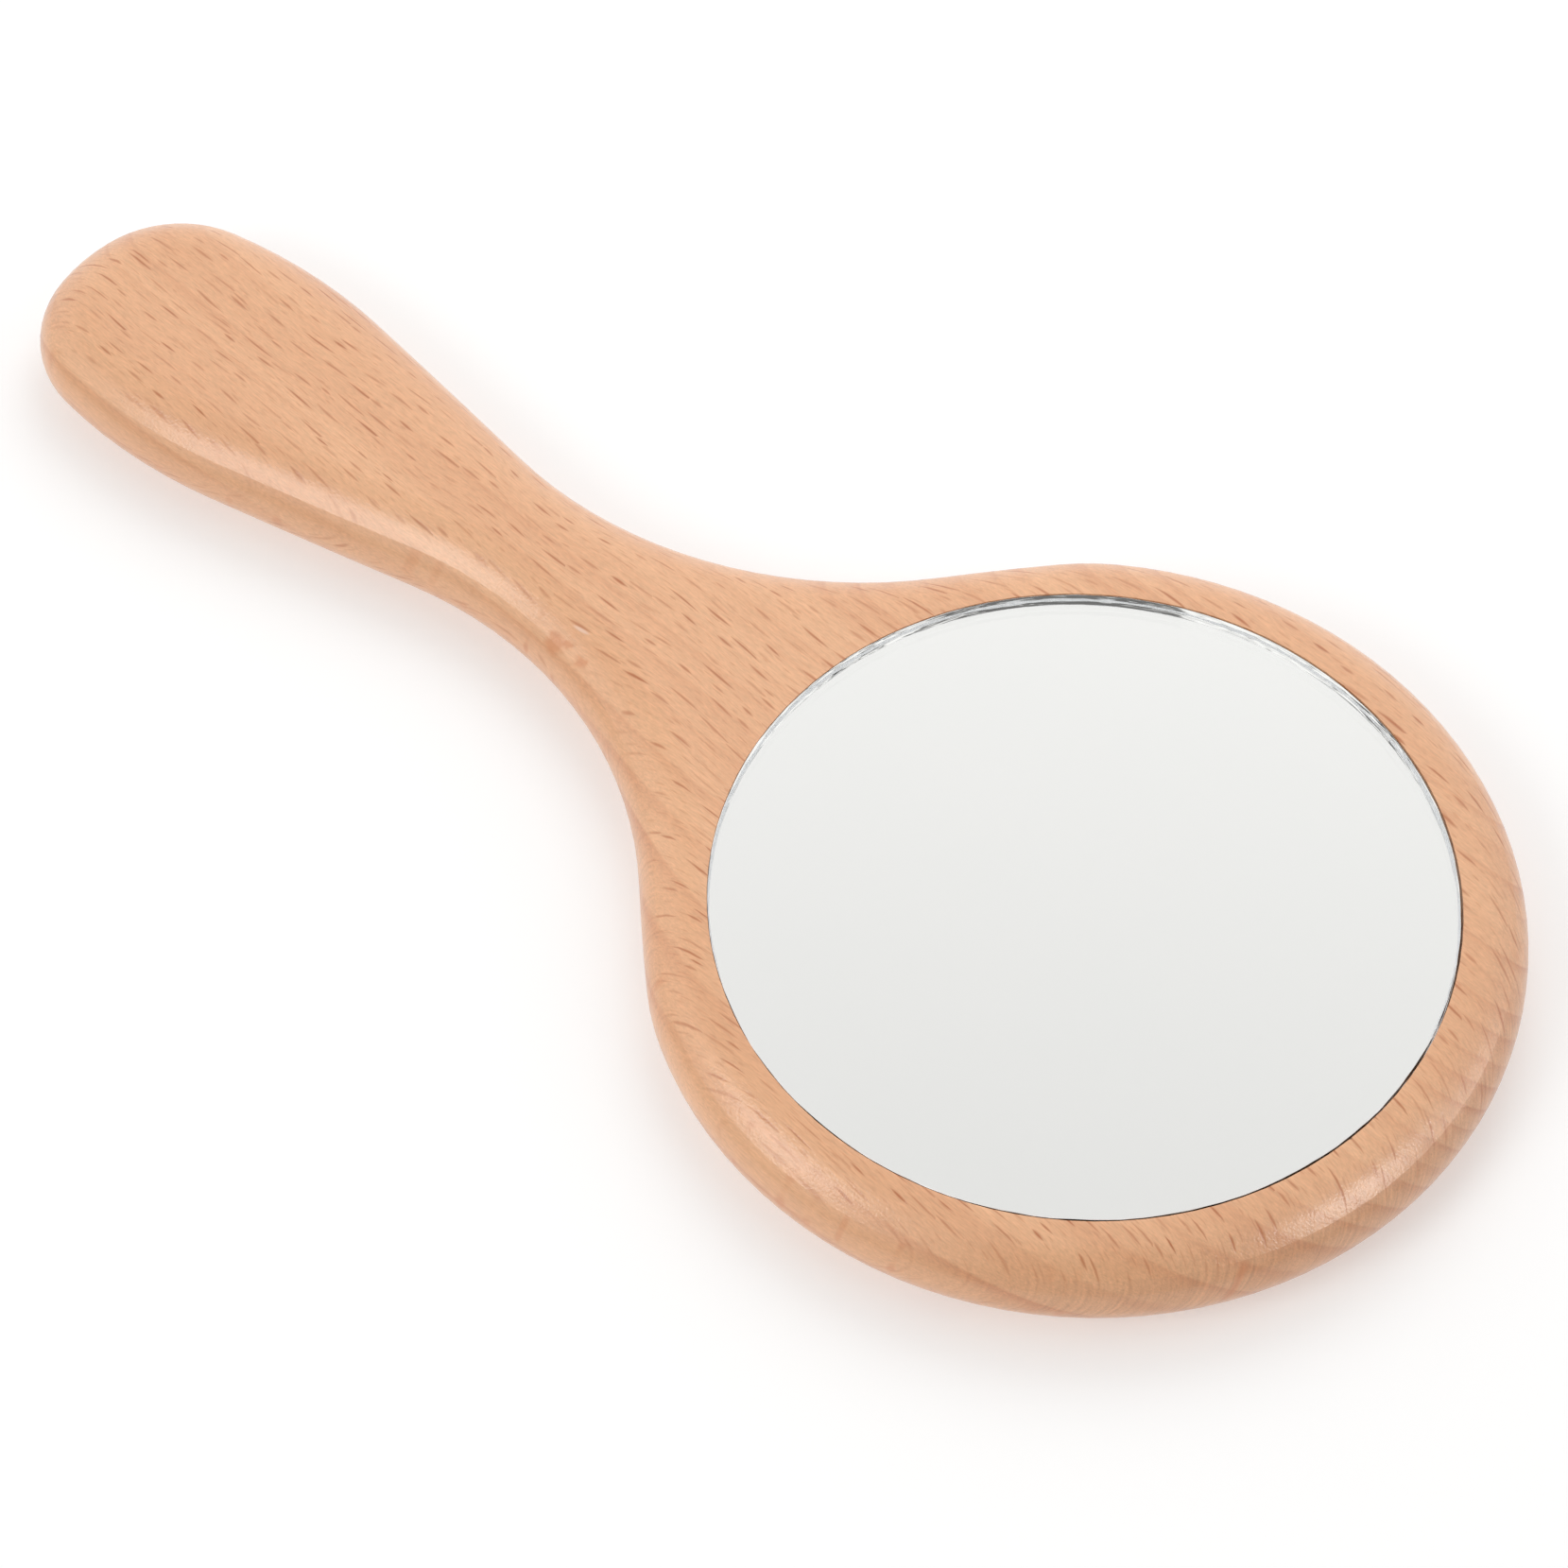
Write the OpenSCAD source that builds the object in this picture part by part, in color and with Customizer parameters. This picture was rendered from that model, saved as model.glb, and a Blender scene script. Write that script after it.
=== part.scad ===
// Round hand mirror: a flat wooden board with a disc of mirror glass let into its head.
// Units are millimetres. X runs along the length with the handle towards -X, the board lies flat
// on Z = 0, and the glass faces +Z. The origin is below the middle of the board's outline.

/* [Board] */
// Thickness of the board
board_t = 13.6; // [13:0.2:16]
// Radius at the outermost line of the rounded edge
nose_r = 5.6; // [5.2:0.1:6]
// Radius where the rounded edge runs onto the flat faces
roll_r = 11; // [10:0.5:11]

/* [Head] */
// Radius of the round head
head_r = 59.5; // [59:0.5:64]
// Radius where the head turns into the neck
shoulder_r = 38; // [34:1:50]

/* [Handle] */
// Width of the neck at its narrowest
neck_w = 23.2; // [22.8:0.2:26]
// Radius of the hollow on each side of the neck
waist_r = 64; // [62:1:66]
// Width of the handle at its widest
handle_w = 40.4; // [40:0.2:42]
// Radius of the swell on each side of the handle
swell_r = 82; // [76:1:88]
// Radius of the two corners at the handle's end
corner_r = 17.5; // [16:0.5:19]

/* [Mirror] */
// Diameter of the glass
glass_d = 100; // [90:0.5:100]
// Thickness of the glass
glass_t = 2; // [1.8:0.1:3]
// Gap between the glass and the wall of its pocket, on each side
pocket_gap = 0.15; // [0.15:0.05:0.5]
// How far the glass sits off the middle of its pocket
glass_shift = 0.13; // [0:0.01:0.14]
// Direction in which it sits off the middle, in degrees from +X
shift_turn = 210; // [0:5:355]
// Thickness of the reflecting coat
silver_t = 0.1; // [0.1:0.05:0.2]
// Thickness of the paint behind the reflecting coat
paint_t = 0.2; // [0.1:0.05:0.4]

/* [Adhesive] */
// Number of adhesive pads around the middle one
ring_pads = 4; // [3:1:8]
// Diameter of each pad
pad_d = 12; // [8:1:14]
// Thickness of each pad
pad_t = 0.7; // [0.5:0.1:1]
// Radius of the circle that the outer pads sit on
pad_ring_r = 33; // [28:1:38]

/* [Hidden] */
$fn = 96;

wood = [0.91, 0.73, 0.58];
clear = [0.86, 0.92, 0.92, 0.45];
silver = [0.87, 0.88, 0.88];
paint = [0.42, 0.44, 0.46];
foam = [0.95, 0.95, 0.93];

// Edge section: a small nose arc, tangent to a larger arc that runs onto the flat face.
half_t = board_t / 2;
nose_in = sqrt(pow(roll_r - nose_r, 2) - pow(roll_r - half_t, 2));
nose_a = atan2(roll_r - half_t, nose_in);
edge_w = nose_r + nose_in;
// Flat strip that each edge piece keeps inside its rounding, and a length beyond any section.
strip_w = 1.2;
far = 40;

// The half outline is a chain of tangent arcs. Each arc ends where the outline's outward normal
// has turned to the angle given here, counted from +X. Hollow arcs have a negative radius.
turn_shoulder = 122;
turn_flank = 135;
turn_waist = 138;
turn_taper = 79;
turn_swell = 80;
turn_corner = 100;
turn_end = 170;

// The long, nearly straight flank sets the width of the neck, the taper that of the handle.
waist_y = neck_w / 2 + waist_r;
swell_y = handle_w / 2 - swell_r;
flank_r = (waist_y - (head_r - shoulder_r) * sin(turn_shoulder)
    - shoulder_r * sin(turn_flank) - waist_r * sin(turn_waist)) / (sin(turn_waist) - sin(turn_flank));
taper_r = (swell_y - waist_y + waist_r * sin(turn_taper)
    + swell_r * sin(turn_swell)) / (sin(turn_swell) - sin(turn_taper));
// The last arc is centred on the middle line.
end_r = corner_r + (swell_y + (swell_r - corner_r) * sin(turn_corner)) / sin(turn_end);

turns = [0, turn_shoulder, turn_flank, turn_waist, turn_taper, turn_swell, turn_corner, turn_end, 180];
radii = [head_r, shoulder_r, flank_r, -waist_r, taper_r, swell_r, corner_r, end_r];
last = len(radii) - 1;
tip_x = centre(last)[0] - end_r;
head_x = -(tip_x + head_r) / 2;

pocket_r = glass_d / 2 + pocket_gap;
glass_at = [head_x, 0] + glass_shift * dir(shift_turn);
pocket_t = glass_t + silver_t + paint_t + pad_t;
glass_z = board_t - glass_t;
silver_z = glass_z - silver_t;
paint_z = silver_z - paint_t;
pad_z = paint_z - pad_t;

function pad_name(i) = str("adhesive_pad_", i + 1);
function dir(a) = [cos(a), sin(a)];
function centre(i) = i == 0 ? [0, 0] : centre(i - 1) + (radii[i - 1] - radii[i]) * dir(turns[i]);
function coarse(v) = [for (x = v) round(x * 100) / 100];

// A long move followed by its small remainder, so that tangent pieces meet without a step.
module shift(v) {
    translate(coarse(v))
        translate(v - coarse(v))
            children();
}

// Section of the rounded edge, outermost at X = 0, with a flat strip inwards of it.
module edge_section() {
    translate([-nose_r, 0]) {
        translate([-nose_in - strip_w, -half_t])
            square([strip_w, board_t]);
        intersection() {
            circle(nose_r);
            polygon([[0, 0], far * dir(nose_a), [2 * far, 0], far * dir(-nose_a)]);
        }
        for (side = [0, 1])
            mirror([0, side])
                intersection() {
                    shift([-nose_in, half_t - roll_r])
                        circle(roll_r);
                    polygon([[-nose_in, 0], [-nose_in, far], far * dir(nose_a), [0, 0]]);
                }
    }
}

// One arc of the outline with its rounded edge, between the normals a0 and a1.
module arc_piece(i, a0, a1) {
    hollow = radii[i] < 0;
    shift(concat(centre(i), 0))
        rotate_extrude(angle = a1 - a0, start = a0 + (hollow ? 180 : 0))
            shift([abs(radii[i]), 0])
                mirror([hollow ? 1 : 0, 0])
                    edge_section();
}

// Points along the half outline, moved inwards, for filling the board between its edges.
function inset_arc(i, inset, steps) = [
    for (k = [0 : steps])
        centre(i) + (radii[i] - inset) * dir(turns[i] + (turns[i + 1] - turns[i]) * k / steps)
];
function inset_half(inset) = [
    for (i = [0 : last])
        each inset_arc(i, inset, ceil(abs(turns[i + 1] - turns[i]) / 10))
];

module core() {
    half = inset_half(edge_w + strip_w / 2);
    other_half = [for (k = [len(half) - 1 : -1 : 0]) [half[k][0], -half[k][1]]];
    translate([0, 0, -half_t])
        linear_extrude(board_t)
            polygon(concat(half, other_half));
}

module board() {
    arc_piece(0, -turn_shoulder, turn_shoulder);
    arc_piece(last, turn_end, 360 - turn_end);
    for (side = [0, 1])
        mirror([0, side, 0])
            for (i = [1 : last - 1])
                arc_piece(i, min(turns[i], turns[i + 1]), max(turns[i], turns[i + 1]));
    core();
}

module wood_body() {
    color(wood)
        difference() {
            shift([head_x, 0, half_t])
                board();
            translate([head_x, 0, pad_z])
                cylinder(h = pocket_t + 1, r = pocket_r);
        }
}

module disc(z, t) {
    translate(concat(glass_at, z))
        cylinder(h = t, d = glass_d);
}

module mirror_glass() {
    color(clear)
        disc(glass_z, glass_t);
}

module silver_layer() {
    color(silver)
        disc(silver_z, silver_t);
}

module backing_paint() {
    color(paint)
        disc(paint_z, paint_t);
}

// Pad 0 is the middle one, the others sit around it.
module adhesive_pad(i) {
    place = i == 0 ? [0, 0] : pad_ring_r * dir(360 * i / ring_pads);
    color(foam)
        translate(concat(glass_at + place, pad_z))
            cylinder(h = pad_t, d = pad_d);
}

wood_body();
mirror_glass();
silver_layer();
backing_paint();
for (i = [0 : ring_pads])
    adhesive_pad(i);
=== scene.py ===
import math

import bmesh
import bpy
from mathutils import Matrix, Vector, noise


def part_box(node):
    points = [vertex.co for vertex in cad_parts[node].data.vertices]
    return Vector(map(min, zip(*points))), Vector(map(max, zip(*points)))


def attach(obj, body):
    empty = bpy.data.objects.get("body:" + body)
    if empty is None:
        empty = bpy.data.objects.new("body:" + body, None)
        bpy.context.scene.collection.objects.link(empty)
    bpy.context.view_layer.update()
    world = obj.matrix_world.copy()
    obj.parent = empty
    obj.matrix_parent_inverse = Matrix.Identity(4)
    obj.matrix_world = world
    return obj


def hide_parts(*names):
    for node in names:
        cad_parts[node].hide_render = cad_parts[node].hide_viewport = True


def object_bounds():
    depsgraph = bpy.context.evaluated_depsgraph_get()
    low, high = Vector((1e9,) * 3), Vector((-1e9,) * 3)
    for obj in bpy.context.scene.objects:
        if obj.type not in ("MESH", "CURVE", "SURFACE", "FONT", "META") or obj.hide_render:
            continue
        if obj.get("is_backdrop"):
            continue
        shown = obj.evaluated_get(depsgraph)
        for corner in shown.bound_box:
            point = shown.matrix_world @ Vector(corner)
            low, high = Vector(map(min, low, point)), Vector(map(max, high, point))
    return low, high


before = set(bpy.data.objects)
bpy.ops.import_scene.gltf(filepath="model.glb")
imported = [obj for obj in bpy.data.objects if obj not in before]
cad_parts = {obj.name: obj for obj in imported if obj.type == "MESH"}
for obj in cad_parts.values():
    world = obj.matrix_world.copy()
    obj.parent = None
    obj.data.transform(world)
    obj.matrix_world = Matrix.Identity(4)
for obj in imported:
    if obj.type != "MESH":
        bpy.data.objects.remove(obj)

# Looks of a round beech hand mirror. Lengths are metres unless a name ends in _MM.

MM = 0.001

# Camera: where it looks, on the board's top face from the middle of the outline, and from where.
AIM = (0.021094, -0.011144)
VIEW_AZIMUTH = math.radians(39.6226)
VIEW_ELEVATION = math.radians(54.6158)
VIEW_ROLL = math.radians(-0.8394)
VIEW_DISTANCE = 0.60926
LENS_MM = 103.517
SENSOR_MM = 36.0

# Timber: the pith lies below and to the side of the board, so the rings cross its end grain
# at a slant and the rays lean. The grain runs a few degrees off the board's length.
GRAIN_ANGLE = math.radians(-5.5)
PITH_Y_MM = -120.0
PITH_Z_MM = -120.0
# About the distance from the pith to the board: lengths round the rings are true there.
RAY_RADIUS_MM = 165.0
# The rings lie evenly outside this radius, and wider and wider apart inside it.
EVEN_RINGS_MM = 188.0
RINGS_PER_MM = 0.385
RINGS_WIDENING = 0.0029
# The faint orange peel of the coat, in cells to the metre.
PEEL_PER_METRE = 2600

# Rays: their pitch along and round the rings, their least and most length and width, and how
# soft their outline is. The blots are the blurred rays on the board's sides.
LARGE_RAYS = dict(pitch_mm=(6.0, 1.76), length_mm=(2.4, 7.4), width_mm=(0.21, 0.37),
                  soft_mm=0.06, seed=0.37)
SMALL_RAYS = dict(pitch_mm=(2.9, 0.85), length_mm=(1.2, 3.4), width_mm=(0.09, 0.2),
                  soft_mm=0.05, seed=5.13)
BLOTS = dict(pitch_mm=(6.5, 3.4), length_mm=(1.0, 2.4), width_mm=(0.8, 1.5),
             soft_mm=0.35, seed=9.7)

# Wood colours in sRGB, 0 to 255, as they are before any light falls on them, except the last one:
# painted shade, the dark inside a small dent at the pocket's edge.
TAN_WOOD = (223, 165, 122)
PALE_WOOD = (234, 181, 138)
LATE_WOOD = (192, 116, 74)
END_WOOD = (200, 144, 106)
BLOT = (208, 130, 84)
SMALL_RAY = (194, 126, 84)
LARGE_RAY = (181, 105, 58)
KNOT = (211, 137, 88)
SCRATCH = (242, 208, 188)
NICK_SHADE = (70, 52, 40)

# Blemishes: where they are, and for the knots their half lengths along X, Y and Z.
KNOTS_MM = (((-19.9, -11.0, 11.2), (1.7, 1.4, 1.8)), ((-17.9, -10.5, 11.9), (1.1, 0.5, 1.0)),
            ((-14.7, -11.6, 11.7), (1.2, 0.7, 1.4)))
SCRATCH_MM = (-17.6, -8.0, 13.0)
SCRATCH_HALF_MM = (1.4, 0.26, 1.0)
# The dent at the pocket's edge is not in the board's shape; its dark spot is painted shade.
NICK_MM = (112.35, -9.15, 13.5)
NICK_HALF_MM = (0.45, 0.32, 0.6)

# Glass: the pane reaches a hair into its silver, so that there is no film of air between them.
GLASS_RADIUS = (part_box("mirror_glass")[1].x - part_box("mirror_glass")[0].x) / 2
GLASS_BOND = 0.02 * MM
GLASS_STEPS = 1440
EDGE_ROWS = 12
EDGE_RIPPLE = 0.08 * MM
TOP_ARRIS = 0.10 * MM
FOOT_ARRIS = 0.32 * MM

# Room: a dark wedge of it stands behind the camera, between these azimuths in degrees. It is
# lighter near the floor.
DARK_FROM = -80
DARK_TO = -4
DARK_LEVEL = 0.14
DARK_LOW_LEVEL = 0.75
# Smaller dark patches, most of them for the cut edge of the glass to reflect: azimuth and
# elevation, radius of the full dark, radius where it ends, and the share of light left in it.
DARK_PATCHES = ((21, 54, 3, 7, 0.06), (36, 54, 3, 6, 0.06), (-154, 54, 6, 10, 0.12),
                (-178, 52, 10, 22, 0.72))
FLOOR_HALF = 60.0


def linear(r, g, b):
    """An sRGB colour given in 0..255 as the linear colour that the shaders take."""
    def channel(c):
        c /= 255.0
        return c / 12.92 if c <= 0.04045 else ((c + 0.055) / 1.055) ** 2.4
    return (channel(r), channel(g), channel(b), 1.0)


class Graph:
    """A node tree, built with one short call per node."""

    def __init__(self, tree):
        self.tree = tree
        tree.nodes.clear()

    def add(self, kind, **settings):
        node = self.tree.nodes.new(kind)
        for name, value in settings.items():
            setattr(node, name, value)
        return node

    def feed(self, socket, value):
        """Links an output socket to socket, or sets socket to a plain value."""
        if isinstance(value, bpy.types.NodeSocket):
            self.tree.links.new(value, socket)
        else:
            socket.default_value = value

    def math(self, operation, *values, clamp=False):
        node = self.add("ShaderNodeMath", operation=operation, use_clamp=clamp)
        for socket, value in zip(node.inputs, values):
            self.feed(socket, value)
        return node.outputs[0]

    def vector(self, operation, *values):
        node = self.add("ShaderNodeVectorMath", operation=operation)
        for socket, value in zip(node.inputs, values):
            self.feed(socket, value)
        return node.outputs["Value" if operation in ("DOT_PRODUCT", "LENGTH") else "Vector"]

    def scale(self, vector, factor):
        node = self.add("ShaderNodeVectorMath", operation="SCALE")
        self.feed(node.inputs[0], vector)
        self.feed(node.inputs["Scale"], factor)
        return node.outputs[0]

    def coordinate(self, kind):
        return self.add("ShaderNodeTexCoord").outputs[kind]

    def combine(self, x, y, z):
        node = self.add("ShaderNodeCombineXYZ")
        for socket, value in zip(node.inputs, (x, y, z)):
            self.feed(socket, value)
        return node.outputs[0]

    def separate(self, vector):
        node = self.add("ShaderNodeSeparateXYZ")
        self.feed(node.inputs[0], vector)
        return tuple(node.outputs)

    def ramp(self, value, low, high, to_low=0.0, to_high=1.0):
        """Smooth step of value from low to high, giving to_low to to_high."""
        node = self.add("ShaderNodeMapRange", interpolation_type="SMOOTHSTEP")
        for name, item in (("Value", value), ("From Min", low), ("From Max", high),
                           ("To Min", to_low), ("To Max", to_high)):
            self.feed(node.inputs[name], item)
        return node.outputs[0]

    def mix(self, factor, a, b, blend="MIX"):
        node = self.add("ShaderNodeMix", data_type="RGBA", blend_type=blend)
        self.feed(node.inputs[0], factor)
        self.feed(node.inputs[6], a)
        self.feed(node.inputs[7], b)
        return node.outputs[2]

    def noise(self, vector, detail=2.0, roughness=0.5):
        """Noise around 0, about -0.5 to 0.5, with one cell per unit of vector."""
        node = self.add("ShaderNodeTexNoise", noise_dimensions="3D")
        self.feed(node.inputs["Vector"], vector)
        self.feed(node.inputs["Scale"], 1.0)
        self.feed(node.inputs["Detail"], detail)
        self.feed(node.inputs["Roughness"], roughness)
        return self.math("SUBTRACT", node.outputs["Fac"], 0.5)

    def bump(self, height, distance):
        node = self.add("ShaderNodeBump")
        self.feed(node.inputs["Height"], height)
        self.feed(node.inputs["Distance"], distance)
        return node.outputs[0]

    def shader(self, **values):
        """A Principled shader on the output, its sockets named with _ for a space."""
        node = self.add("ShaderNodeBsdfPrincipled")
        for name, value in values.items():
            self.feed(node.inputs[name.replace("_", " ")], value)
        out = self.add("ShaderNodeOutputMaterial")
        self.tree.links.new(node.outputs[0], out.inputs["Surface"])
        return node


def new_material(name):
    material = bpy.data.materials.new(name)
    material.use_nodes = True
    return material, Graph(material.node_tree)


def millimetres(g):
    """The object's own coordinates in millimetres."""
    return g.scale(g.coordinate("Object"), 1 / MM)


# ---------------------------------------------------------------- beech

def timber_coordinates(g):
    """Millimetres along the grain, round the rings and out from the pith, gently wavering. Then
    how squarely the surface faces along the grain, up or down, and the pith, from 0 to 1."""
    with_grain = (math.cos(GRAIN_ANGLE), math.sin(GRAIN_ANGLE), 0)
    over_grain = (-math.sin(GRAIN_ANGLE), math.cos(GRAIN_ANGLE), 0)
    point = millimetres(g)
    along = g.vector("DOT_PRODUCT", point, with_grain)
    across = g.vector("DOT_PRODUCT", point, over_grain)
    height = g.separate(point)[2]
    dy = g.math("SUBTRACT", across, PITH_Y_MM)
    dz = g.math("SUBTRACT", height, PITH_Z_MM)
    radius = g.vector("LENGTH", g.combine(0.0, dy, dz))
    turn = g.math("MULTIPLY", g.math("ARCTAN2", dy, dz), RAY_RADIUS_MM)
    waver = g.noise(g.combine(g.math("MULTIPLY", along, 1 / 38), g.math("MULTIPLY", turn, 1 / 16),
                              g.math("MULTIPLY", radius, 1 / 30)))
    turn = g.math("ADD", turn, g.math("MULTIPLY", waver, 3.6))
    normal = g.coordinate("Normal")
    upwards = g.separate(normal)[2]
    sideways = g.vector("DOT_PRODUCT", normal, over_grain)
    outwards = g.math("ADD", g.math("MULTIPLY", sideways, dy), g.math("MULTIPLY", upwards, dz))
    outwards = g.math("ABSOLUTE", g.math("DIVIDE", outwards, radius))
    lengthwise = g.math("ABSOLUTE", g.vector("DOT_PRODUCT", normal, with_grain))
    return (along, turn, radius), (lengthwise, g.math("ABSOLUTE", upwards), outwards)


def stretched(g, timber, along_mm, turn_mm, radius_mm, seed=0.0):
    """Timber coordinates scaled so that one unit is the given length each way."""
    along, turn, radius = timber
    return g.combine(g.math("MULTIPLY_ADD", along, 1 / along_mm, seed),
                     g.math("MULTIPLY_ADD", turn, 1 / turn_mm, 2 * seed),
                     g.math("MULTIPLY_ADD", radius, 1 / radius_mm, 3 * seed))


def rays(g, timber, pitch_mm, length_mm, width_mm, soft_mm, seed):
    """Lens-shaped ray ends on a loose grid, 0 beside them and up to 1 on them. They run outwards
    from the pith without an end. pitch_mm is (along, turn), the others (least, most)."""
    along, turn, _ = timber
    cell = g.add("ShaderNodeTexVoronoi", voronoi_dimensions="2D", feature="F1")
    place = g.combine(g.math("MULTIPLY_ADD", along, 1 / pitch_mm[0], seed),
                      g.math("MULTIPLY_ADD", turn, 1 / pitch_mm[1], seed), 0.0)
    g.feed(cell.inputs["Vector"], place)
    g.feed(cell.inputs["Scale"], 1.0)
    g.feed(cell.inputs["Randomness"], 0.85)
    dx, dt, _ = g.separate(g.vector("SUBTRACT", place, cell.outputs["Position"]))
    chance = g.separate(cell.outputs["Color"])
    spread = g.math("POWER", chance[0], 1.3)
    half_length = g.math("MULTIPLY_ADD", spread, (length_mm[1] - length_mm[0]) / 2, length_mm[0] / 2)
    half_width = g.math("MULTIPLY_ADD", chance[1], (width_mm[1] - width_mm[0]) / 2, width_mm[0] / 2)
    reach = g.math("DIVIDE", g.math("MULTIPLY", dx, pitch_mm[0]), half_length)
    taper = g.math("SUBTRACT", 1.0, g.math("MULTIPLY", reach, reach))
    depth = g.math("SUBTRACT", g.math("MULTIPLY", half_width, taper),
                   g.math("ABSOLUTE", g.math("MULTIPLY", dt, pitch_mm[1])))
    mask = g.ramp(depth, -soft_mm, g.math("MULTIPLY", half_width, 0.9))
    shade = g.math("MULTIPLY_ADD", chance[2], 0.7, 0.3)
    return g.math("MULTIPLY", mask, shade)


def spot(g, point, centre, half):
    """1 inside a soft ellipsoid and 0 outside it, given its half lengths along X, Y and Z."""
    offset = g.vector("SUBTRACT", point, centre)
    return g.ramp(g.vector("LENGTH", g.vector("DIVIDE", offset, half)), 1.35, 0.45)


def marks(g, colour):
    """Small pin knots at the neck, a pale scratch beside them, and a dark spot of painted shade where a
    small dent, not in the board's shape, notches the pocket's edge.
    """
    point = millimetres(g)
    wobble = g.combine(g.noise(point), g.noise(g.scale(point, 0.7)), 0.0)
    ragged = g.vector("ADD", point, g.scale(wobble, 1.6))
    for centre, half in KNOTS_MM:
        colour = g.mix(g.math("MULTIPLY", spot(g, ragged, centre, half), 0.7), colour,
                       linear(*KNOT))
    scratch = spot(g, point, SCRATCH_MM, SCRATCH_HALF_MM)
    colour = g.mix(g.math("MULTIPLY", scratch, 0.65), colour, linear(*SCRATCH))
    # Painted shade: a dark spot stands in for the shade inside the dent, which the mesh lacks.
    nick_shade = spot(g, point, NICK_MM, NICK_HALF_MM)
    return g.mix(nick_shade, colour, linear(*NICK_SHADE))


def growth_rings(g, timber):
    """Darkness within a ring: rising slowly outwards, with a sharp drop at the ring's end.
    Good and bad years make the rings wide or narrow, and dark or faint."""
    _, _, radius = timber
    sway = g.noise(stretched(g, timber, 90, 25, 25, 4.0))
    year = g.noise(stretched(g, timber, 260, 90, 5, 11.0))
    radius = g.math("ADD", radius, g.math("MULTIPLY", sway, 2.4))
    radius = g.math("ADD", radius, g.math("MULTIPLY", year, 2.6))
    inner = g.math("MAXIMUM", g.math("SUBTRACT", EVEN_RINGS_MM, radius), 0.0)
    count = g.math("MULTIPLY_ADD", g.math("MULTIPLY", inner, inner), RINGS_WIDENING,
                   g.math("MULTIPLY", radius, RINGS_PER_MM))
    phase = g.math("FRACT", count)
    rise = g.math("POWER", phase, 3.0)
    drop = g.ramp(phase, 0.0, 0.1, 1.0, 0.0)
    strength = g.ramp(g.noise(stretched(g, timber, 120, 40, 3.2, 15.0)), -0.16, 0.16, 0.3, 1.3)
    return g.math("MULTIPLY", g.math("MAXIMUM", rise, drop), strength)


def beech():
    """Beech under a satin coat, the same all through the board."""
    material, g = new_material("lacquered_beech")
    timber, (lengthwise, upright, outwards) = timber_coordinates(g)
    end_grain = g.ramp(lengthwise, 0.15, 0.85)
    side = g.ramp(upright, 0.995, 0.6, 0.0, 1.0)

    # Shades of the timber: patches, fibres and pores, then the rays where they are cut across.
    broad = g.noise(stretched(g, timber, 70, 9, 9, 1.0))
    fibre = g.noise(stretched(g, timber, 4, 0.3, 0.3, 2.0), detail=3.0, roughness=0.65)
    pores = g.noise(stretched(g, timber, 1.1, 0.2, 0.2, 3.0), detail=1.0)
    clear_cut = g.math("MULTIPLY", g.ramp(outwards, 0.15, 0.65, 0.15, 1.0),
                       g.math("MULTIPLY_ADD", side, -0.2, 1.0))
    large = g.math("MULTIPLY", rays(g, timber, **LARGE_RAYS), clear_cut)
    small = g.math("MULTIPLY", rays(g, timber, **SMALL_RAYS), clear_cut)
    blots = g.math("MULTIPLY", rays(g, timber, **BLOTS), side)
    rings = growth_rings(g, timber)

    # Ground colour, then the late wood of each ring, then the deeper tone of the end grain.
    colour = g.mix(g.math("MULTIPLY_ADD", broad, 1.6, 0.5, clamp=True),
                   linear(*TAN_WOOD), linear(*PALE_WOOD))
    ring_share = g.math("ADD", g.math("MULTIPLY_ADD", side, 0.12, 0.19),
                        g.math("MULTIPLY", end_grain, 0.30))
    colour = g.mix(g.math("MULTIPLY", rings, ring_share), colour, linear(*LATE_WOOD))
    colour = g.mix(g.math("MULTIPLY", end_grain, 0.4), colour, linear(*END_WOOD))
    # Light and dark of the fibre, the pores and, on the end grain, the finest rays.
    thin_rays = g.noise(stretched(g, timber, 1.6, 0.3, 22, 6.0), detail=1.0)
    thin_rays = g.math("MULTIPLY", thin_rays, g.math("MULTIPLY_ADD", end_grain, 0.42, 0.05))
    grain = g.math("MULTIPLY_ADD", fibre, 0.36, g.math("MULTIPLY_ADD", pores, 0.30, 1.0))
    grain = g.math("ADD", grain, thin_rays)
    colour = g.mix(1.0, colour, g.combine(grain, grain, grain), "MULTIPLY")
    colour = g.mix(g.math("MULTIPLY", blots, 0.55), colour, linear(*BLOT))
    colour = g.mix(g.math("MULTIPLY", small, 0.5), colour, linear(*SMALL_RAY))
    colour = g.mix(large, colour, linear(*LARGE_RAY))
    colour = marks(g, colour)

    rough = g.math("MULTIPLY_ADD", fibre, 0.12, 0.42)
    peel = g.noise(g.scale(g.coordinate("Object"), PEEL_PER_METRE), detail=1.0)
    relief = g.math("SUBTRACT", g.math("MULTIPLY", fibre, 0.5), g.math("MULTIPLY", large, 0.6))
    relief = g.math("ADD", relief, g.math("MULTIPLY", peel, 1.1))
    g.shader(Base_Color=colour, Roughness=rough, IOR=1.5, Normal=g.bump(relief, 0.02 * MM),
             Coat_Weight=0.7, Coat_Roughness=0.18, Coat_Normal=g.bump(relief, 0.038 * MM))
    return material


# ---------------------------------------------------------------- mirror

def ripple(angle, height, seed):
    """Smooth unevenness around the glass, about -1 to 1, as a hand-cut edge has it: waves of
    about 5 mm round the edge, and weaker ones of about 2 mm."""
    turn = Vector((math.cos(angle), math.sin(angle), 0.0)) * GLASS_RADIUS / MM
    broad = Vector((turn.x * 0.2, turn.y * 0.2, height / MM * 1.0 + seed))
    fine = Vector((turn.x * 0.5, turn.y * 0.5, height / MM * 2.6 + seed))
    return (noise.noise(broad) + 0.45 * noise.noise(fine)) * 1.1


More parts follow.
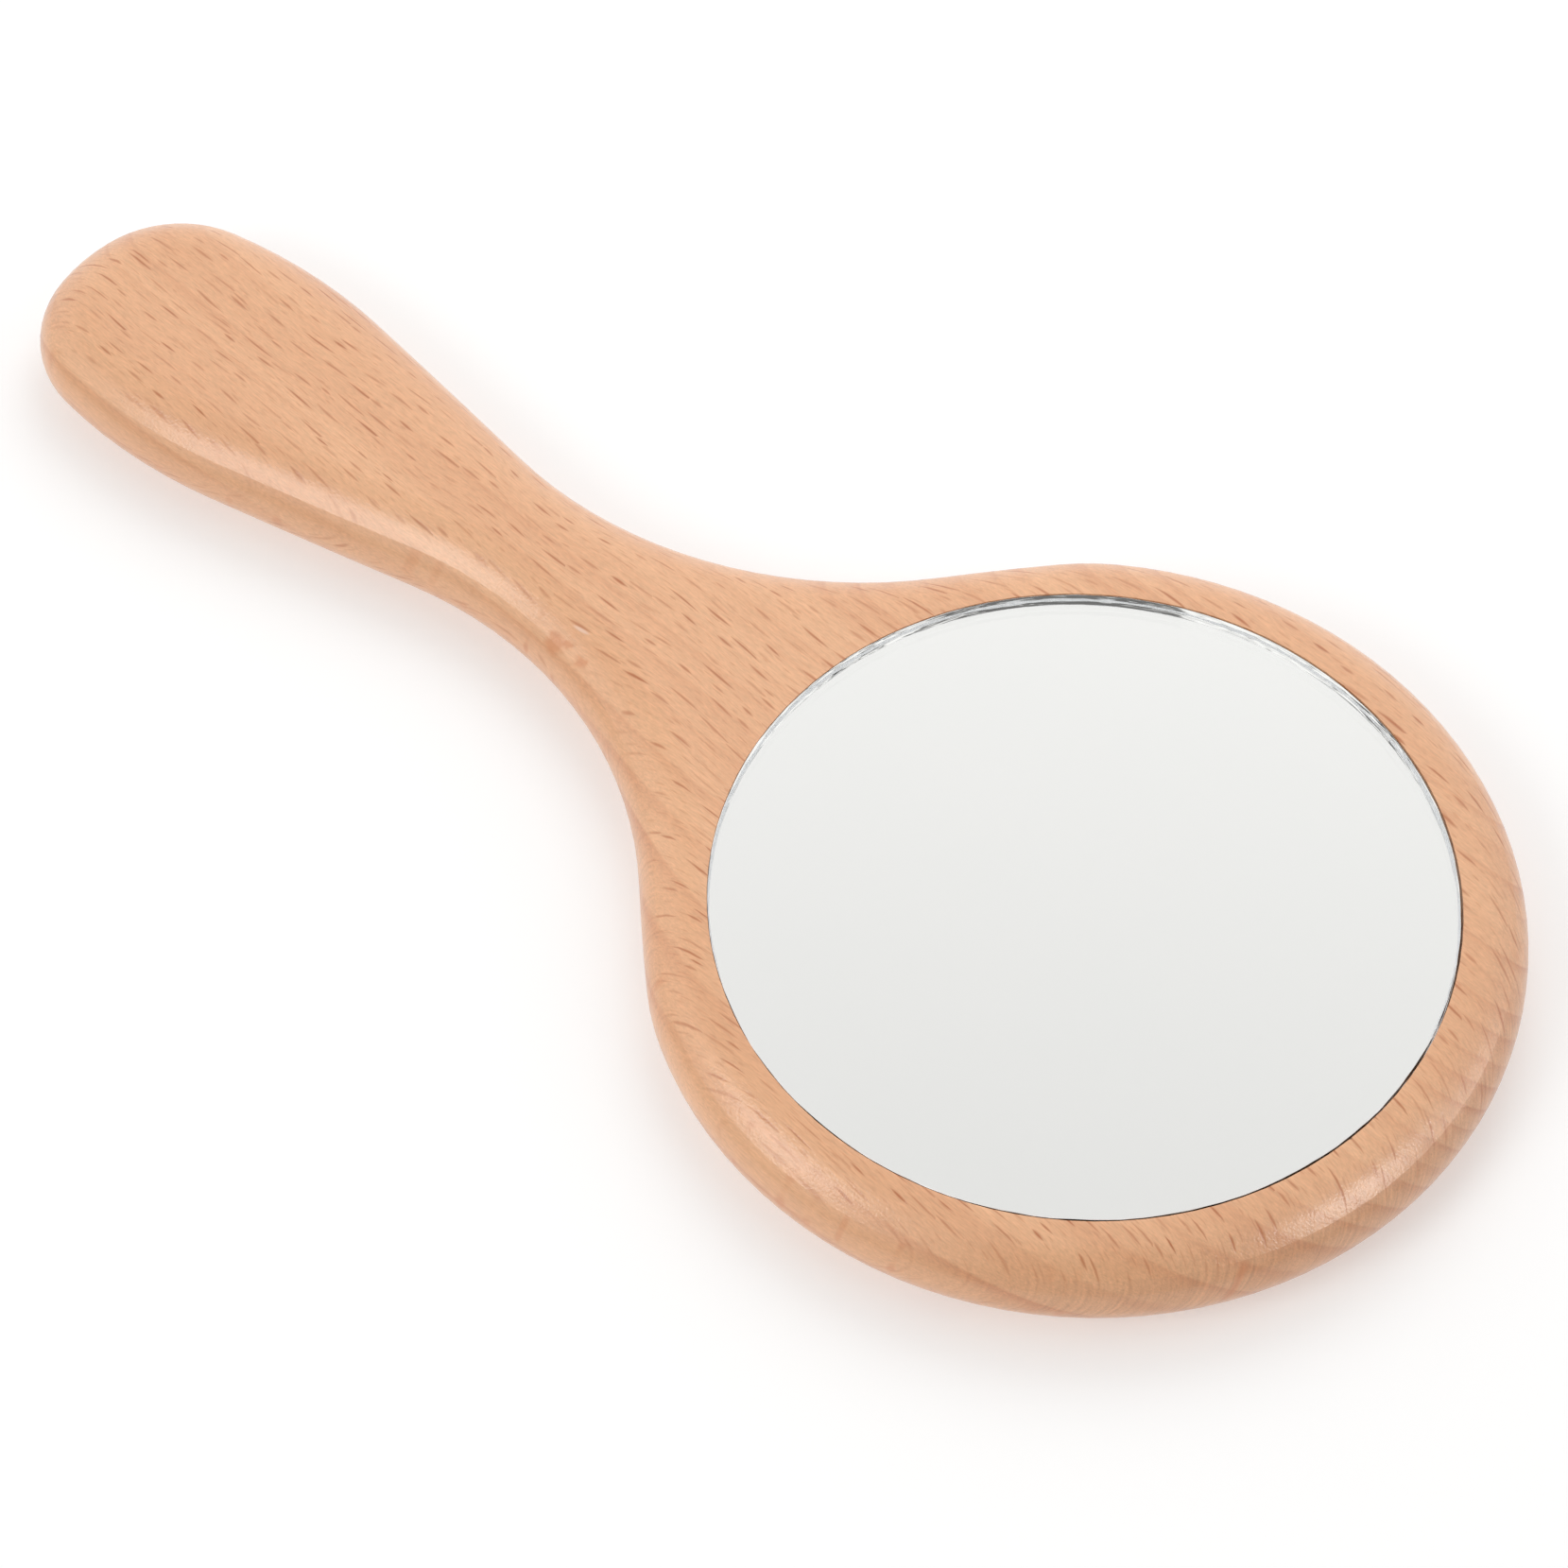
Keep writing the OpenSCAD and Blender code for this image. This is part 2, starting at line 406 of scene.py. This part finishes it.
def edge_profile(angle, bottom, top):
    """The cut edge at one angle, from its foot up: inset from the glass's radius, and height."""
    top_arris = TOP_ARRIS * (1 + 0.5 * ripple(angle, 0, 40.0))
    foot_arris = FOOT_ARRIS * (1 + 0.45 * ripple(angle, 0, 80.0))
    profile = [(foot_arris, bottom)]
    for k in range(EDGE_ROWS + 1):
        share = k / EDGE_ROWS
        z = bottom + foot_arris + (top - top_arris - bottom - foot_arris) * share
        profile.append((EDGE_RIPPLE * (1 + ripple(angle, z, 0.0)), z))
    profile.append((top_arris, top))
    return profile


def pane_mesh(centre, bottom, top):
    """A closed disc. Its lowest and highest rows of side faces, the arrises, are material 1."""
    mesh = bmesh.new()
    rows = []
    for step in range(GLASS_STEPS):
        angle = 2 * math.pi * step / GLASS_STEPS
        row = []
        for inset, z in edge_profile(angle, bottom, top):
            radius = GLASS_RADIUS - inset
            row.append(mesh.verts.new((centre.x + radius * math.cos(angle),
                                       centre.y + radius * math.sin(angle), z)))
        rows.append(row)
    for row, following in zip(rows, rows[1:] + rows[:1]):
        for k in range(len(row) - 1):
            face = mesh.faces.new((row[k], following[k], following[k + 1], row[k + 1]))
            face.smooth = True
            face.material_index = 1 if k in (0, len(row) - 2) else 0
    mesh.faces.new([row[-1] for row in rows])
    mesh.faces.new([row[0] for row in reversed(rows)])
    pane = bpy.data.meshes.new("glass_pane")
    mesh.to_mesh(pane)
    mesh.free()
    pane.set_sharp_from_angle(angle=math.radians(25))
    return pane


def glass_disc():
    """The pane: a cut edge with a slight ripple, and its two arrises taken off by hand."""
    low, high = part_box("mirror_glass")
    pane = pane_mesh((low + high) / 2, low.z - GLASS_BOND, high.z)
    pane.materials.append(clear_glass())
    pane.materials.append(ground_glass_painted_glow())
    piece = bpy.data.objects.new("glass_pane", pane)
    bpy.context.scene.collection.objects.link(piece)
    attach(piece, "root")
    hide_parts("mirror_glass")


def clear_glass():
    """Float glass: a faint green cast that drifts across the pane."""
    material, g = new_material("clear_glass")
    drift = g.noise(g.scale(millimetres(g), 0.05), detail=2.0)
    colour = g.mix(g.math("ADD", drift, 0.5), (0.980, 0.994, 0.988, 1.0), (0.990, 0.996, 0.992, 1.0))
    g.shader(Base_Color=colour, Roughness=0.0, IOR=1.52, Transmission_Weight=1.0)
    return material


def ground_glass_painted_glow():
    """The hand-ground arrises: matt and pale, with a painted glow: they emit light of their own colour
    in place of light scattered inside the pane.
    """
    material, g = new_material("ground_glass_painted_glow")
    speck = g.noise(millimetres(g), detail=2.0)
    colour = g.mix(g.math("ADD", speck, 0.5), linear(222, 226, 229), linear(250, 251, 252))
    # Painted glow: the emission makes the arrises shine with no lamp, standing in for light scattered
    # inside the pane.
    g.shader(Base_Color=colour, Roughness=0.45, IOR=1.52, Emission_Color=colour,
             Emission_Strength=0.38)
    return material


def silver_coat():
    """Bright silver with a barely visible cloudiness."""
    material, g = new_material("silver_coat")
    cloud = g.math("ADD", g.noise(g.scale(millimetres(g), 0.08), detail=4.0), 0.5)
    colour = g.mix(cloud, (0.952, 0.948, 0.938, 1.0), (0.962, 0.956, 0.946, 1.0))
    g.shader(Base_Color=colour, Metallic=1.0, Roughness=g.math("MULTIPLY_ADD", cloud, 0.02, 0.01))
    return material


def backing_coat():
    """Grey protective paint, curtain coated: mottled, with a fine stipple."""
    material, g = new_material("backing_coat")
    point = millimetres(g)
    mottle = g.math("ADD", g.noise(g.scale(point, 0.15), detail=3.0), 0.5)
    stipple = g.noise(g.scale(point, 2.5), detail=2.0)
    colour = g.mix(mottle, linear(96, 100, 104), linear(112, 116, 119))
    rough = g.math("MULTIPLY_ADD", stipple, 0.25, 0.5)
    g.shader(Base_Color=colour, Roughness=rough, Normal=g.bump(stipple, 0.03 * MM))
    return material


def foam_pad():
    """White double-sided foam: open cells with painted shade in their hollows, a little yellowed in
    places.
    """
    material, g = new_material("foam_pad")
    point = millimetres(g)
    cell = g.add("ShaderNodeTexVoronoi", feature="F1")
    g.feed(cell.inputs["Vector"], point)
    g.feed(cell.inputs["Scale"], 3.0)
    age = g.math("ADD", g.noise(g.scale(point, 0.3), detail=2.0), 0.5)
    colour = g.mix(age, linear(243, 243, 239), linear(236, 232, 220))
    # Painted shade: each cell darkens away from its centre, where the bump lies lower.
    shade = g.ramp(cell.outputs["Distance"], 0.1, 0.6, 1.0, 0.82)
    colour = g.mix(1.0, colour, g.combine(shade, shade, shade), "MULTIPLY")
    g.shader(Base_Color=colour, Roughness=0.9,
             Normal=g.bump(cell.outputs["Distance"], -0.15 * MM))
    return material


def finish_nodes():
    """Gives every CAD node its material. Those with no name here are the foam pads, and the
    glass that the pane stands in for."""
    named = {"wood_body": beech(), "silver_layer": silver_coat(), "backing_paint": backing_coat()}
    foam = foam_pad()
    for name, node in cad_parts.items():
        node.data.materials.clear()
        node.data.materials.append(named.get(name, foam))


# ---------------------------------------------------------------- studio

def direction(azimuth, elevation):
    """Unit vector: azimuth in degrees from +X towards +Y, elevation in degrees."""
    a, e = math.radians(azimuth), math.radians(elevation)
    return Vector((math.cos(e) * math.cos(a), math.cos(e) * math.sin(a), math.sin(e)))


def dimmed(g, level, look, azimuth, elevation, inner, outer, share):
    """Dims the world to share of level round a direction, fading from inner to outer degrees."""
    near = g.vector("DOT_PRODUCT", look, tuple(direction(azimuth, elevation)))
    return g.math("MULTIPLY", level, g.ramp(near, math.cos(math.radians(outer)),
                                            math.cos(math.radians(inner)), 1.0, share))


def studio_world():
    """White room, less bright straight up and low in front, with a dark wedge behind the camera."""
    world = bpy.data.worlds.new("studio")
    bpy.context.scene.world = world
    world.use_nodes = True
    g = Graph(world.node_tree)
    look = g.vector("NORMALIZE", g.coordinate("Generated"))
    height = g.separate(look)[2]
    level = g.ramp(height, 0.70, 0.92, 1.05, 0.78)
    low = g.ramp(height, 0.0, 0.65, 1.0, 0.0)
    front = g.ramp(g.vector("DOT_PRODUCT", look, tuple(direction(-70, 0))), -0.4, 0.3, 0.1, 0.75)
    level = g.math("MULTIPLY", level, g.math("SUBTRACT", 1.0, g.math("MULTIPLY", low, front)))
    right_of_left = g.vector("DOT_PRODUCT", look, tuple(direction(DARK_FROM + 90, 0)))
    left_of_right = g.vector("DOT_PRODUCT", look, tuple(direction(DARK_TO - 90, 0)))
    dark = g.math("MULTIPLY", g.ramp(right_of_left, -0.03, 0.05), g.ramp(left_of_right, -0.03, 0.05))
    depth = g.ramp(height, 0.35, 0.62, 1 - DARK_LOW_LEVEL, 1 - DARK_LEVEL)
    level = g.math("MULTIPLY", level, g.math("SUBTRACT", 1.0, g.math("MULTIPLY", dark, depth)))
    for patch in DARK_PATCHES:
        level = dimmed(g, level, look, *patch)
    back = g.add("ShaderNodeBackground")
    g.feed(back.inputs["Color"], (1.0, 0.997, 0.99, 1.0))
    g.feed(back.inputs["Strength"], level)
    out = g.add("ShaderNodeOutputWorld")
    world.node_tree.links.new(back.outputs[0], out.inputs["Surface"])


def softbox(name, azimuth, elevation, distance, size, radiance, glossy):
    """A round soft light facing the board. Either it only makes highlights or it only lights."""
    data = bpy.data.lights.new(name, "AREA")
    data.shape = "DISK"
    data.size = size
    data.energy = radiance * math.pi * math.pi * (size / 2) ** 2
    lamp = bpy.data.objects.new(name, data)
    bpy.context.scene.collection.objects.link(lamp)
    way = direction(azimuth, elevation)
    lamp.location = middle + way * distance
    lamp.rotation_euler = way.to_track_quat("Z", "Y").to_euler()
    lamp.visible_transmission = False
    lamp.visible_glossy = glossy
    lamp.visible_diffuse = not glossy


def pale_floor():
    """Plain white ground, glowing a little, so that it stays pale under the soft light."""
    mesh = bpy.data.meshes.new("floor")
    corners = [(-FLOOR_HALF, -FLOOR_HALF, 0), (FLOOR_HALF, -FLOOR_HALF, 0),
               (FLOOR_HALF, FLOOR_HALF, 0), (-FLOOR_HALF, FLOOR_HALF, 0)]
    mesh.from_pydata(corners, [], [(0, 1, 2, 3)])
    floor = bpy.data.objects.new("floor", mesh)
    bpy.context.scene.collection.objects.link(floor)
    floor.location.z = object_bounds()[0].z
    material, g = new_material("pale_floor")
    g.shader(Base_Color=(0.66, 0.66, 0.66, 1.0), Roughness=0.7, Emission_Color=(1, 1, 1, 1),
             Emission_Strength=0.36)
    mesh.materials.append(material)
    floor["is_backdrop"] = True


def photo_camera():
    """A long lens from above the side of the head, aimed near the neck and rolled slightly."""
    data = bpy.data.cameras.new("camera")
    data.lens = LENS_MM
    data.sensor_width = SENSOR_MM
    data.clip_start = 0.01
    camera = bpy.data.objects.new("camera", data)
    bpy.context.scene.collection.objects.link(camera)
    sa, ca = math.sin(VIEW_AZIMUTH), math.cos(VIEW_AZIMUTH)
    se, ce = math.sin(VIEW_ELEVATION), math.cos(VIEW_ELEVATION)
    right = Vector((ca, sa, 0))
    forward = Vector((-sa * ce, ca * ce, -se))
    up = right.cross(forward)
    roll = Matrix.Rotation(-VIEW_ROLL, 3, forward)
    right = roll @ right
    up = roll @ up
    aim = Vector((AIM[0], AIM[1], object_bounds()[1].z))
    camera.matrix_world = Matrix.Translation(aim - forward * VIEW_DISTANCE) @ Matrix(
        (right, up, -forward)).transposed().to_4x4()
    bpy.context.scene.camera = camera


cad_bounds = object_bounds()
low, high = cad_bounds
middle = (low + high) / 2
finish_nodes()
glass_disc()

studio_world()
softbox("left_gleam", azimuth=-124.5, elevation=51, distance=0.75, size=0.36, radiance=4.1, glossy=True)
softbox("right_gleam", azimuth=14, elevation=41, distance=0.9, size=0.30, radiance=6.5, glossy=True)
softbox("low_gleam", azimuth=38, elevation=20, distance=0.9, size=0.28, radiance=3.0, glossy=True)
softbox("front_light", azimuth=-105, elevation=38, distance=1.4, size=0.6, radiance=4.8, glossy=False)
softbox("back_light", azimuth=112, elevation=50, distance=0.65, size=0.45, radiance=1.75, glossy=False)
pale_floor()
photo_camera()
bpy.context.scene.view_settings.view_transform = "Standard"
